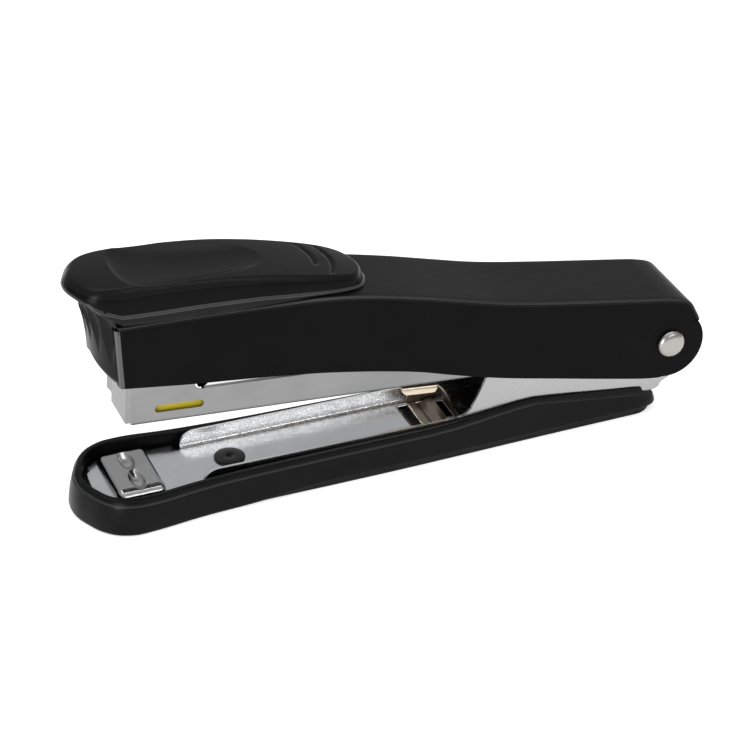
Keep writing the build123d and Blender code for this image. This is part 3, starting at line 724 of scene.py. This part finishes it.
parts = []
for side in (-1, 1):
    y = side * OUT
    corner = 1.1
    outline = [(FRONT + corner, LOW + 0.9), (REAR - 1.5, LOW + 0.9), (REAR, LOW + 2.4)]
    outline += [(REAR, FOLD - 1.0), (REAR - 1.0, FOLD)]
    outline += [(p.x, FOLD) for p in spaced([(REAR - 3.0, 0, 0), (NOSE_REAR + 1.4, 0, 0)], 40)]
    outline += [(NOSE_REAR + 0.7, FOLD + 0.12), (NOSE_REAR + 0.25, FOLD + 0.45), (NOSE_REAR, FOLD + 1.0)]
    outline += [(NOSE_REAR, LOW + 12.6), (FRONT + corner, LOW + 12.6)]
    parts.append(add_polygon_plate(outline, slot_window(), y))
    # Front corner and front flange.
    rows = []
    gap = 2.9 if side < 0 else 3.1
    low_front = LOW + 0.4 if side < 0 else LOW + 1.9
    for step in range(9):
        a = math.radians(90 * step / 8)
        px = FRONT + corner - corner * math.sin(a)
        py = OUT - corner + corner * math.cos(a)
        foot = lerp(LOW + 0.9, low_front, smooth(step / 8))
        rows.append([(px, side * py, lerp(foot, LOW + 12.6, k / 6)) for k in range(7)])
    set_back = 0.0 if side < 0 else 0.35
    rows.append([(FRONT + set_back, gap, lerp(low_front, LOW + 12.6, k / 6)) for k in range(7)])
    parts.append(grid(rows))
    # Floor half with its bend.
    rows = []
    for px in spaced([(FRONT + 2.0, 0, 0), (REAR - 1.5, 0, 0)], 40):
        rows.append([(px.x, py, pz) for py, pz in wall_rows(side)])
    parts.append(grid(rows))
    rows = []
    for step in range(2):
        px = lerp(FRONT + corner, FRONT + 2.0, step)
        rows.append([(px, py, pz) for py, pz in wall_rows(side)[3:]])
    parts.append(grid(rows))
verts, faces = join(*parts)
channel = piece(
    "magazine_shell",
    verts,
    faces,
    steel_satin,
    "magazine",
    ["magazine_channel"],
    place=magazine_point,
    turn=True,
)
thick(channel, 0.5)
rounded(channel, 0.10)

# Recessed upper walls behind the nose, and the rolled bead at their front end.
parts = []
for side in (-1, 1):
    y = side * (OUT - 0.75)
    rows = []
    for px in spaced([(NOSE_REAR + 2.0, 0, 0), (REAR, 0, 0)], 60):
        lift = 1.75
        if px.x < NOSE_REAR + 3.0:
            lift *= math.sqrt(max(0.0, 1 - (NOSE_REAR + 3.0 - px.x) ** 2))
        rows.append([(px.x, y, lerp(FOLD - 0.6, FOLD + lift, k / 6)) for k in range(7)])
    parts.append(grid(rows))
verts, faces = join(*parts)
upper = piece("magazine_upper_walls", verts, faces, steel_inner, "magazine", place=magazine_point)
thick(upper, 0.45, 0.0)
rounded(upper, 0.08)

parts = []
for side in (-1, 1):
    rows = []
    for step in range(13):
        a = math.radians(180 + 90 * step / 12)
        cx, cz = NOSE_REAR + 1.35, FOLD + 1.35
        row = []
        for k in range(12):
            b = 2 * math.pi * k / 12
            reach = 1.15 + 0.28 * math.cos(b)
            across = side * (OUT - 0.28 + 0.28 * math.sin(b))
            row.append((cx + reach * math.cos(a), across, cz + reach * math.sin(a)))
        rows.append(row)
    parts.append(grid(rows, closed_row=True))
verts, faces = join(*parts)
piece("magazine_beads", verts, faces, chrome_bright, "magazine", place=magazine_point)

# ---- staple rail --------------------------------------------------------
rows = []
for px in spaced([(-114.1, 0, 0), (-30.0, 0, 0)], 30):
    section = [(-5.2, -2.6), (-5.2, 1.6)]
    for turn in (15, 30, 45, 60, 75, 90):
        a = math.radians(turn)
        section.append((-5.2 + 0.8 * (1 - math.cos(a)), 1.66 + 0.8 * math.sin(a)))
    section += [(-1.1, 2.46), (1.1, 2.46)]
    section += [(-y, z) for y, z in reversed(section[:-2])]
    rows.append([(px.x, y, z) for y, z in section])
verts, faces = grid(rows)
count = len(rows[0])
faces.append(tuple(range(count)))
rail = piece(
    "rail_bar", verts, faces, steel_inner, "magazine", ["staple_rail"], place=magazine_point
)
thick(rail, 0.5)
rounded(rail, 0.08)

# ---- pusher and springs -------------------------------------------------
low, high = (-113.2, -6.15, -2.6), (-99.5, 6.15, 1.5)
verts, faces = box_mesh(low, high)
pusher = piece(
    "pusher_block", verts, faces, yellow_plastic, "pusher", ["pusher"], place=magazine_point
)
rounded(pusher, 0.5, 3)


def coil(first, last, radius, wire, turns, centre_z):
    """A coil spring along X, as points and faces."""
    rows = []
    steps = int(turns * 20)
    for i in range(steps + 1):
        t = i / steps
        a = 2 * math.pi * turns * t
        x = lerp(first, last, t)
        at = Vector((x, radius * math.cos(a), centre_z + radius * math.sin(a)))
        out = Vector((0, math.cos(a), math.sin(a)))
        row = []
        for k in range(8):
            b = 2 * math.pi * k / 8
            row.append(at + out * (wire * math.cos(b)) + Vector((wire * math.sin(b), 0, 0)))
        rows.append(row)
    return grid(rows, closed_row=True)


verts, faces = coil(-100.1, -38.5, 1.6, 0.22, 24, -0.5)
spring = piece(
    "drive_spring", verts, faces, spring_steel, "magazine", ["pusher_spring"],
    place=magazine_point,
)
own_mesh(spring)


def curve_xz(points, count):
    """A smooth side-view path, as pairs."""
    return [(p.x, p.z) for p in curve(xz(points), count)]


def leaf(path, half, name, mat, body, stands_for, sheet=0.42, taper=None, place=None):
    """A bent strip: a side view path swept across its width."""
    rows = []
    for i, p in enumerate(path):
        reach = half if taper is None else half * taper(i / (len(path) - 1))
        rows.append([(p[0], lerp(-reach, reach, k / 8), p[1]) for k in range(9)])
    verts, faces = grid(rows)
    made = piece(name, verts, faces, mat, body, stands_for, place=place)
    thick(made, sheet, 0.0)
    rounded(made, 0.08)
    return made


# The foot is a pressed cup, then a frame with a rectangular window.
cup = [(7.0, 3.9), (7.15, 4.9), (7.5, 5.15), (8.7, 5.1), (9.3, 4.75), (10.2, 5.35), (10.7, 5.6), (12.3, 5.62)]
# The cup, the foot and the cheeks take painted shade, a darker copy of the spring bronze.
leaf(curve_xz(cup, 28), 4.9, "spring_cup", [painted_shade_bronze], "base", ["return_spring"])
frame_x, frame_y = (10.6, 12.3, 13.9, 14.9), (-4.9, -3.0, 3.3, 4.9)
frame_verts = [(x, y, 5.66) for x in frame_x for y in frame_y]
frame_faces = [
    (i * 4 + j, (i + 1) * 4 + j, (i + 1) * 4 + j + 1, i * 4 + j + 1)
    for i in range(3)
    for j in range(3)
    if (i, j) != (1, 1)
]
# The frame takes painted shade, a darker copy of the chrome.
frame_piece = piece("spring_frame", frame_verts, frame_faces, painted_shade_chrome, "base")
thick(frame_piece, 0.45)
rounded(frame_piece, 0.12)
leaf([(14.9, 5.45), (16.0, 5.2), (22.6, 5.2)], 4.6, "spring_foot", [painted_shade_bronze], "base", ())
for label, y in (("far", 5.3), ("near", -5.6)):
    high = 7.3 if y > 0 else 5.9
    cheek = [(6.9, 5.2), (14.6, 5.2), (14.3, high - 0.5), (13.6, high), (7.6, high + 0.3), (6.9, high - 0.2)]
    verts, faces = slab(cheek, y, y + 0.4)
    rounded(piece("spring_cheek_" + label, verts, faces, painted_shade_bronze, "base"), 0.12)
# The arm under the magazine, with a turned-down lip on each side.
rows = []
for px in spaced([(1.6, 0, 0), (9.3, 0, 0)], 16):
    z = 15.55 - 0.10 * (px.x - 1.6)
    drop = 1.35 * min(1.0, 0.35 + (px.x - 1.6) / 1.2) * min(1.0, 0.3 + (9.3 - px.x) / 0.8)
    lip = [(4.7, drop), (4.7, 0.35), (4.55, 0.1), (4.2, 0)]
    section = [(-y, z - d) for y, d in lip] + [(0, z)] + [(y, z - d) for y, d in reversed(lip)]
    rows.append([(px.x, y, height) for y, height in section])
verts, faces = grid(rows)
arm = piece("spring_arm", verts, faces, bronze_leaf, "magazine")
thick(arm, 0.4)
rounded(arm, 0.08)
# The upright leaf takes painted shade, a darker copy of the spring bronze.
link = leaf(
    curve_xz([(14.2, 5.6), (13.6, 7.4), (12.6, 10.2), (11.0, 12.9), (9.2, 14.4), (7.6, 14.95)], 30),
    3.2, "spring_leaf", [painted_shade_bronze], None, (),
)
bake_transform(link)

# ---- handle -------------------------------------------------------------
TOP = [
    (-57.7, 44.7), (-50.0, 44.45), (-42.0, 44.1), (-34.0, 43.7), (-26.8, 43.25), (-20.0, 42.8),
    (-15.4, 42.35), (-9.0, 41.4), (-3.9, 40.35), (4.6, 38.25), (10.5, 36.6), (16.4, 34.95),
    (20.8, 33.75), (26.0, 32.55), (34.0, 31.0), (42.9, 29.4), (54.3, 27.4), (61.6, 26.1),
]
REAR_TOP = [(62.9, 25.7), (63.9, 25.1), (64.6, 24.3), (65.3, 22.9), (65.9, 21.7), (66.25, 20.8)]
BOTTOM = [
    (-57.3, 31.7), (-50.0, 30.65), (-44.3, 29.85), (-35.0, 28.75), (-25.9, 27.65), (-18.0, 26.5),
    (-13.4, 25.7), (-4.9, 24.0), (3.6, 21.95), (10.2, 19.85), (17.2, 17.75), (24.0, 15.95),
    (31.2, 14.3), (43.8, 11.4), (53.7, 9.25), (57.0, 8.75),
]
REAR_FOOT = arc(59.4, 16.35, 7.62, -100, 27, 22)
HALF = 9.6
ROOF_LIFT = 0.4


columns = 150
top_line = curve(xz(TOP), columns)
rear_line = curve(xz([TOP[-1]] + REAR_TOP), 22)[1:]
crown = [(p.x, p.z + ROOF_LIFT * smooth((64.0 - p.x) / 6.0)) for p in top_line + rear_line]
foot_line = curve(xz(BOTTOM), columns)
arc_line = spaced(xz([BOTTOM[-1]] + REAR_FOOT), 22)[1:]
keel = [(p.x, p.z) for p in foot_line] + [(p.x, p.z) for p in arc_line]

CORNER = 0.75
rows = []
for i, (x, z) in enumerate(crown):
    before, after = crown[max(0, i - 1)], crown[min(len(crown) - 1, i + 1)]
    along = Vector((after[0] - before[0], 0, after[1] - before[1])).normalized()
    down = Vector((along.z, 0, -along.x))
    at = Vector((x, 0, z))
    half_row = []
    for k in range(8):
        half_row.append(at + Vector((0, -(HALF - CORNER) * k / 8, 0)))
    for k in range(7):
        a = math.radians(90 * k / 6)
        out = Vector((0, -(HALF - CORNER + CORNER * math.sin(a)), 0))
        half_row.append(at + out + down * (CORNER * (1 - math.cos(a))))
    upper_edge = at + down * CORNER
    low = Vector((keel[i][0], 0, keel[i][1]))
    for k in range(1, 13):
        mix = upper_edge.lerp(low, k / 12)
        half_row.append(Vector((mix.x, -HALF, mix.z)))
    other = [Vector((p.x, -p.y, p.z)) for p in reversed(half_row[1:])]
    rows.append(other + half_row)
# Turned-in flanges at the open front, with a rounded upright corner.
front = rows[0]
flange = []
for step in range(1, 6):
    a = math.radians(90 * step / 5)
    row = []
    for p in front:
        inset = 1.1 * (1 - math.cos(a)) + (1.2 if step == 5 else 0.0)
        if abs(p.y) > HALF - 0.01:
            row.append(Vector((p.x - math.sin(a) * 0.9, math.copysign(HALF - inset, p.y), p.z)))
        else:
            row.append(Vector((p.x - math.sin(a) * 0.3, p.y, p.z - inset * 0.1)))
    flange.append(row)
rows = list(reversed(flange)) + rows
verts, faces = grid(rows)
width = len(rows[0])
# The sides take painted shade, the rounded top corners and the front upright corners of the sides take
# painted highlights, and the rest keeps the plain paint.
painted_light_split = []
for i in range(len(faces)):
    row, step = i // (width - 1), i % (width - 1)
    step = abs(step + 0.5 - (width - 1) / 2)
    if 1 <= row <= 4 and step > 14:
        painted_light_split.append(2)
    elif 8.9 < step < 12.1:
        painted_light_split.append(3)
    else:
        painted_light_split.append(1 if step > 14 else 0)
handle = piece(
    "handle_cover", verts, faces, [black_paint, painted_shade_handle_sides, painted_highlight_handle_front, painted_highlight_handle_corners], "handle",
    ["handle_shell"], face_mat=painted_light_split, sharp=60,
)
thick(handle, 0.7)
rounded(handle, 0.12, 2, 50)

# The leaf that lifts the handle off the magazine, seen when the handle is folded back.
LIFT_PATH = [
    (44.2, 24.3), (42.2, 23.9), (40.5, 23.85), (38.4, 24.6), (31.0, 27.6), (26.0, 30.0), (20.6, 32.5),
    (8.6, 35.95),
]
lift = leaf(
    curve_xz(LIFT_PATH, 48),
    4.5, "lift_leaf", [spring_steel], None, ["handle_spring"],
)
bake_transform(lift)

# ---- finger cap ---------------------------------------------------------
CAP_FLANK = [
    (-64.9, 3.9), (-63.6, 6.6), (-61.4, 8.6), (-58.2, 9.6), (-53.0, 9.9), (-44.0, 9.9), (-34.0, 9.75),
    (-24.0, 9.35), (-16.0, 8.6), (-10.5, 7.5), (-7.4, 5.9), (-5.8, 3.6),
]
CROWN = [
    (-66.2, 51.9), (-65.2, 52.5), (-63.8, 52.9), (-61.0, 53.15), (-57.0, 53.2), (-50.0, 52.9),
    (-43.0, 52.2), (-36.0, 51.3), (-28.0, 49.85), (-20.0, 48.05), (-12.0, 45.95), (-7.0, 44.3),
    (-5.0, 43.55),
]
SHOULDER = [
    (-66, 50.6), (-63.5, 50.0), (-61, 48.6), (-57, 47.1), (-50, 46.75), (-40, 46.3), (-29, 45.4),
    (-20, 44.1), (-10, 42.5), (-6, 41.7), (-4, 41.4),
]
HEM = [
    (-66, 48.6), (-63.5, 48.4), (-61, 47.9), (-59, 46.6), (-57, 45.3), (-45, 44.5), (-25.6, 43.35),
    (-16, 42.5), (-9, 41.3), (-4, 40.3),
]
crown_line = [(p.x, p.z) for p in curve(xz(CROWN), 200)]


DISH_HALF = [
    (-56.6, 0.0), (-56.3, 3.2), (-55.6, 5.6), (-54.4, 7.4), (-52.6, 8.45), (-50.0, 8.75), (-46.5, 8.55),
    (-40.0, 7.6), (-35.0, 6.5), (-30.0, 4.9), (-27.6, 3.4), (-26.3, 1.9), (-25.8, 0.0),
]
DISH_DEEP = [
    (-56.6, 0.0), (-54.6, 1.0), (-51.5, 1.75), (-46.0, 2.0), (-39.0, 1.7), (-32.5, 1.1), (-28.0, 0.4),
    (-25.8, 0.0),
]
dish_half = [(p.x, p.z) for p in curve(xz(DISH_HALF), 120)]
dish_deep = [(p.x, p.z) for p in curve(xz(DISH_DEEP), 60)]


def dish(x, y):
    """Depth of the thumb dish, a long drop shape with a blunt front."""
    if not -56.6 < x < -25.8:
        return 0.0
    rho = abs(y) / max(0.05, table(x, dish_half))
    if rho >= 1:
        return 0.0
    return max(0.0, table(x, dish_deep)) * (1 - rho**2.4)


def groove(x, y):
    """Two short curved grip grooves across the rear of the cap."""
    depth = 0.0
    for middle, top, bottom in ((-16.2, 5.9, -2.9), (-12.6, 5.2, -6.3)):
        if bottom - 0.6 < y < top + 0.6:
            line = middle + 0.9 - 0.045 * (y - 0.5) ** 2
            fade = smooth((y - bottom + 0.6) / 2.2) * smooth((top + 0.6 - y) / 1.2)
            depth = max(depth, 0.55 * fade * math.exp(-(((x - line) / 0.42) ** 2)))
    return depth


def cap_outline():
    """The cap seen from above, as a closed ring."""
    near = [(x, -y, 0) for x, y in CAP_FLANK]
    front = [(-65.6, 2.0, 0), (-65.85, 0, 0), (-65.6, -2.0, 0)]
    rear = [(-5.15, -1.6, 0), (-5.0, 0, 0), (-5.15, 1.6, 0)]
    half = curve(front + near + rear, 900)
    half = [p for p in half if p.y <= 0]
    half = spaced([Vector((half[0].x, 0, 0))] + half[1:-1] + [Vector((half[-1].x, 0, 0))], 230)
    return half + [Vector((p.x, -p.y, 0)) for p in reversed(half[1:-1])]


ring = cap_outline()
normals = inward(ring)
rows = []
levels = 80
for p, n in zip(ring, normals):
    spine = Vector((min(-12.0, max(-57.0, p.x + n.x * 9.0)), 0, 0))
    shoulder = table(p.x, SHOULDER)
    hem = table(p.x, HEM)
    front = smooth((-60.5 - p.x) / 4.0)
    under = lerp(0.24, 1.9, front)
    row = [p + n * (under + 1.3) + Vector((0, 0, hem + 0.1)), p + n * (under + 0.17) + Vector((0, 0, hem))]
    row.append(p + n * under + Vector((0, 0, hem + 0.12)))
    row.append(p + n * (under * 0.6) + Vector((0, 0, lerp(hem, shoulder, 0.45))))
    row.append(p + n * (under * 0.22) + Vector((0, 0, lerp(hem, shoulder, 0.8))))
    row.append(p + n * 0.03 + Vector((0, 0, shoulder - 0.16)))
    step_in = 0.45 * (1 - 0.7 * front)
    row += [p + Vector((0, 0, shoulder)), p + n * 0.08 + Vector((0, 0, shoulder + 0.12))]
    row += [p + n * step_in * 0.8 + Vector((0, 0, shoulder + 0.24))]
    inside = p + n * step_in
    reach = (spine - inside).length
    for k in range(1, levels + 1):
        t = (k / levels) ** 1.9
        at = inside.lerp(spine, t)
        d = reach * t
        x, y = at.x, at.y
        top = table(x, crown_line)
        half_here = max(2.0, table(x, CAP_FLANK))
        top -= lerp(0.7, 0.3, smooth((x + 50) / 20)) * (abs(y) / half_here) ** 2
        roll = table(p.x, [(-60, 1.7), (-50, 1.5), (-40, 1.5), (-30, 1.5), (-20, 1.4), (-8, 1.1)])
        roll = lerp(roll, 2.2, front)
        if d < roll:
            bend = (1 - (1 - d / roll) ** 2.2) ** 0.62
            z = lerp(shoulder + 0.3, top, bend)
        else:
            z = top
        z -= dish(x, y) + groove(x, y)
        row.append(Vector((x, y, z)))
    rows.append(row)
verts, faces = grid(rows, closed_all=True)
width = len(rows[0])
# The shoulder step takes a painted highlight, the wall above it takes painted shade, and then comes the top.
painted_light_split = []
for i in range(len(faces)):
    level = i % (width - 1)
    painted_light_split.append(1 if 5 <= level <= 8 else 2 if 9 <= level <= 23 else 0)
painted_light_split.append(0)
faces.append(tuple(i * width for i in range(len(rows))))
piece(
    "thumb_cap", verts, faces, [cap_plastic, painted_highlight_cap_step, painted_shade_cap_rise], "handle", ["finger_cap"],
    face_mat=painted_light_split, sharp=48,
)


# Skirt: height and X, at its middle and at its corners, and each flute's middle and lower end.
SKIRT_CENTRE = [
    (30, -61.2), (33.7, -61.3), (36, -61.3), (38.2, -61.45), (41.6, -61.8), (44, -62.25), (46.2, -62.8),
    (48.6, -63.6),
]
SKIRT_CORNER = [(30, -57.5), (44, -57.6), (46.5, -58.6), (48.6, -60.2)]
SKIRT_HALF = 8.95
FLUTES = ((0.0, 38.2), (-2.35, 38.0), (2.35, 38.0), (-4.7, 36.8), (4.7, 36.8), (-7.2, 35.0), (7.2, 35.0))


def skirt_front(y, z):
    """X of the skirt's front face."""
    centre = table(z, SKIRT_CENTRE)
    corner = table(z, SKIRT_CORNER)
    return lerp(centre, corner, (abs(y) / SKIRT_HALF) ** 2.3)


rows = []
for i in range(141):
    y = lerp(-SKIRT_HALF, SKIRT_HALF, i / 140)
    foot = 35.4 - 3.95 * (abs(y) / SKIRT_HALF) ** 1.25
    row = []
    for k in range(61):
        z = lerp(foot, 48.7, k / 60)
        x = skirt_front(y, z)
        for middle, end in FLUTES:
            grow = smooth((z - end) / 9.0)
            half = lerp(0.35, 1.25, grow)
            off = (y - middle) / half
            if abs(off) < 1 and grow > 0:
                x += 0.85 * grow * (1 - off * off)
        if k < 4:
            x += 0.35 * (1 - k / 4) ** 2
        row.append((x, y, z))
    rows.append(row)
verts, faces = grid(rows)
skirt = piece("cap_skirt", verts, faces, cap_plastic, "handle", sharp=60)
thick(skirt, 1.2)
rounded(skirt, 0.15, 2, 55)

# ---- stage, light and camera --------------------------------------------
stage_mesh = bpy.data.meshes.new("stage_floor")
stage_mesh.from_pydata([(-3, -3, 0), (3, -3, 0), (3, 5, 0), (-3, 5, 0)], [], [(0, 1, 2, 3)])
stage = bpy.data.objects.new("stage_floor", stage_mesh)
bpy.context.scene.collection.objects.link(stage)
mat, tree, shader = start("stage_white")
shader.inputs["Base Color"].default_value = (0.9, 0.9, 0.9, 1)
shader.inputs["Roughness"].default_value = 0.9
shader.inputs["Specular IOR Level"].default_value = 0.0
shader.inputs["Emission Color"].default_value = (1, 1, 1, 1)
shader.inputs["Emission Strength"].default_value = 0.5
stage_mesh.materials.append(mat)


def area(name, place, target, size, power, shade=(1, 1, 1)):
    """A soft rectangular light that faces a point."""
    lamp = bpy.data.lights.new(name, "AREA")
    lamp.shape = "RECTANGLE"
    lamp.size, lamp.size_y = size
    lamp.energy = power
    lamp.color = shade
    made = bpy.data.objects.new(name, lamp)
    made.location = place
    made.rotation_mode = "QUATERNION"
    made.rotation_quaternion = (Vector(target) - Vector(place)).to_track_quat("-Z", "Y")
    bpy.context.scene.collection.objects.link(made)
    return made


area("top_soft", (0.0, 0.15, 1.1), (0, 0, 0), (1.2, 0.8), 5)
area("left_strip", (-0.80, -0.70, 0.24), (0, 0, 0.02), (0.26, 0.34), 5)
area("front_soft", (0.40, -1.0, 0.66), (0, 0, 0.02), (0.7, 0.5), 2.2)

world = bpy.data.worlds.new("soft_room")
bpy.context.scene.world = world
world.use_nodes = True
tree = world.node_tree
back = tree.nodes["Background"]
place = node(tree, "ShaderNodeTexCoord")
split = node(tree, "ShaderNodeSeparateXYZ")
tree.links.new(place.outputs["Generated"], split.inputs["Vector"])
room = ramp(tree, split.outputs["Z"], (0.42, 0.42, 0.44, 1), (1.0, 1.0, 1.0, 1), (0.1, 0.9))
tree.links.new(room, back.inputs["Color"])
back.inputs["Strength"].default_value = 0.75

camera = bpy.data.cameras.new("camera")
camera.lens = 135.54
camera.sensor_width = 36.0
camera.clip_start, camera.clip_end = 0.05, 20.0
eye = bpy.data.objects.new("camera", camera)
bpy.context.scene.collection.objects.link(eye)
azimuth, elevation, reach = math.radians(-21.608), math.radians(31.165), 0.5705
aim = Vector((-0.00227, 0.0, 0.0172))
away = Vector(
    (math.sin(azimuth) * math.cos(elevation), -math.cos(azimuth) * math.cos(elevation), math.sin(elevation))
)
eye.location = aim + away * reach
eye.rotation_mode = "QUATERNION"
eye.rotation_quaternion = (-away).to_track_quat("-Z", "Y")
bpy.context.scene.camera = eye
bpy.context.scene.view_settings.view_transform = "Standard"
bpy.context.scene.view_settings.look = "None"
